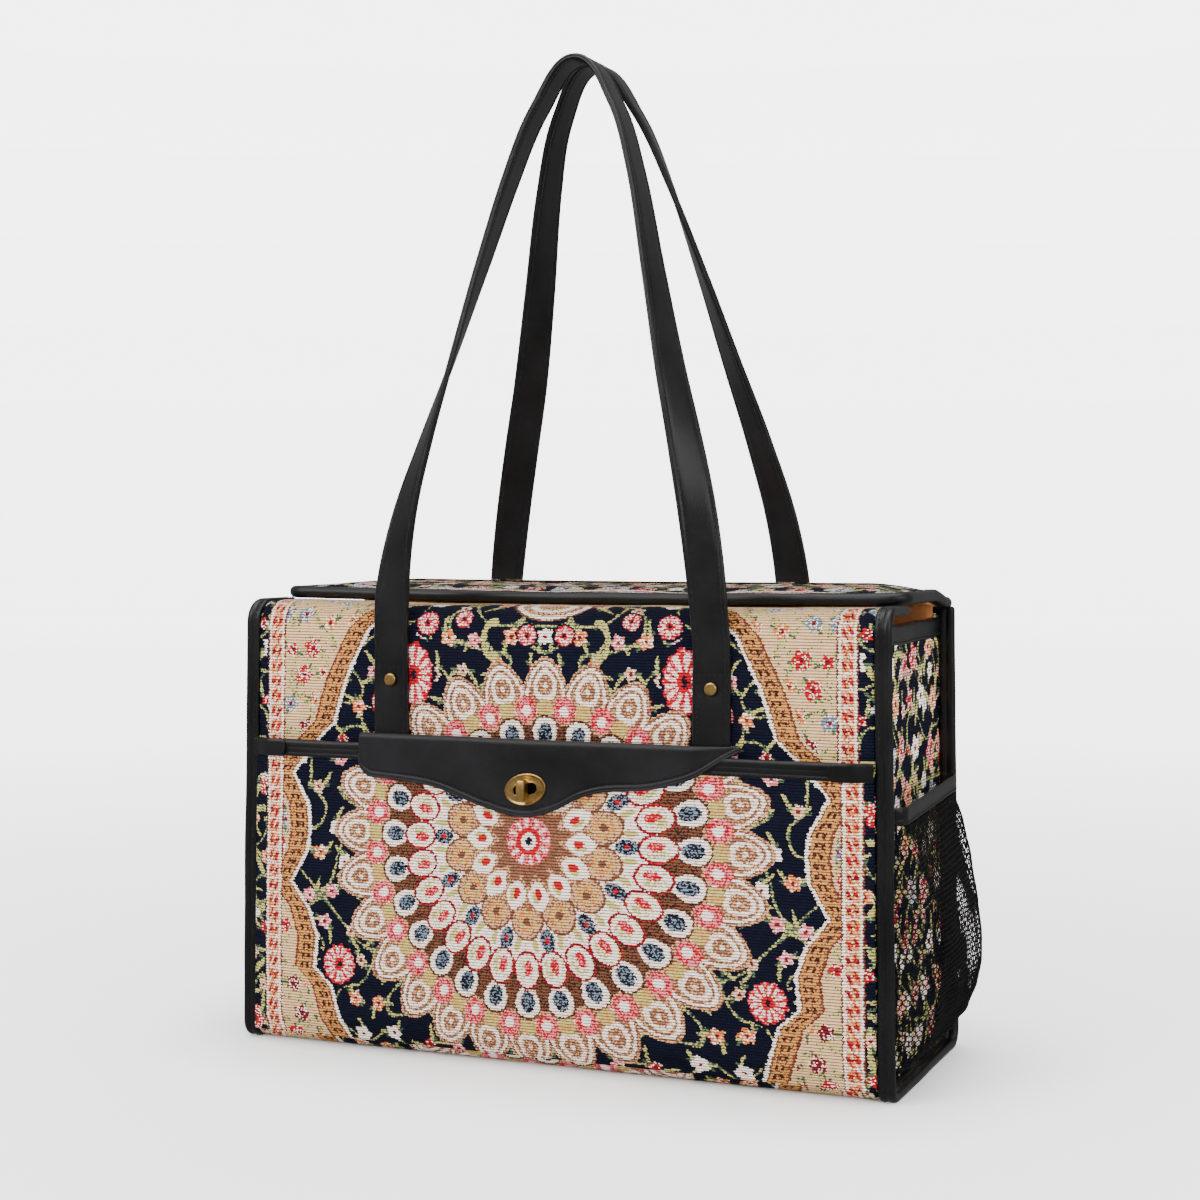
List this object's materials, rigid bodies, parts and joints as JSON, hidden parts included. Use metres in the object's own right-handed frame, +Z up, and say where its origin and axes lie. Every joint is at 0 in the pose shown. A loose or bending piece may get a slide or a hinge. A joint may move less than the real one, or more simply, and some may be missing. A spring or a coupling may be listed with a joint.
{
  "type": "carpet bag",
  "caption": "Boxy tapestry carpet bag with leather-bound ends, a hinged lid, a flap pocket with a turn lock, a netting side pocket and two long leather handles.",
  "frame": {"origin": "centre of the base, on the surface that the bag stands on", "axes": "+X to the right end with the netting pocket, +Y to the back, +Z up; the front with the flap pocket faces -Y"},
  "size_m": [0.4681, 0.1934, 0.6553],
  "materials": {
    "tapestry": "woven jacquard, matt",
    "lining": "plain cloth, matt",
    "leather": "smooth, satin",
    "brass": "antique, brushed",
    "netting": "knotted nylon net, satin"
  },
  "bodies": {
    "bag_body": {"back_rivet_cap_left": "brass", "back_rivet_cap_right": "brass", "back_rivet_left": "brass", "back_rivet_right": "brass", "back_strap_anchor_left": "leather", "back_strap_anchor_right": "leather", "base_board": "lining", "flap_eyelet_plate": "brass", "flap_eyelet_washer": "brass", "front_pocket_panel": "tapestry", "front_rivet_cap_left": "brass", "front_rivet_cap_right": "brass", "front_rivet_left": "brass", "front_rivet_right": "brass", "front_strap_anchor_left": "leather", "front_strap_anchor_right": "leather", "left_end_binding": "leather", "left_end_panel": "tapestry", "left_top_band": "leather", "lining": "lining", "lock_back_plate": "brass", "lock_base": "brass", "mesh_pocket_band": "leather", "pocket_band": "leather", "pocket_flap": "leather", "pocket_tab_left": "leather", "pocket_tab_right": "leather", "right_end_binding": "leather", "right_end_panel": "tapestry", "right_mesh_pocket": "netting", "right_top_band": "leather", "tapestry_wrap": "tapestry"},
    "lid": {"lid_panel": "tapestry", "lid_binding": "leather", "lid_lining": "lining"},
    "lock_knob": {"lock_knob": "brass"},
    "front_handle": {"front_handle": "leather"},
    "back_handle": {"back_handle": "leather"}
  },
  "joints": [
    {"name": "lid_hinge", "type": "hinge", "parent": "bag_body", "child": "lid", "pos_m": [0, 0.0795, 0.3058], "axis": [-1, 0, 0], "range_deg": [0, 75]},
    {"name": "front_handle_swing", "type": "hinge", "parent": "bag_body", "child": "front_handle", "pos_m": [0, -0.0868, 0.258], "axis": [1, 0, 0], "range_deg": [0, 135]},
    {"name": "back_handle_swing", "type": "hinge", "parent": "bag_body", "child": "back_handle", "pos_m": [0, 0.0868, 0.258], "axis": [-1, 0, 0], "range_deg": [0, 135]},
    {"name": "lock_turn", "type": "hinge", "parent": "bag_body", "child": "lock_knob", "pos_m": [-0.0105, -0.1, 0.18], "axis": [0, 1, 0], "range_deg": [0, 90]}
  ]
}
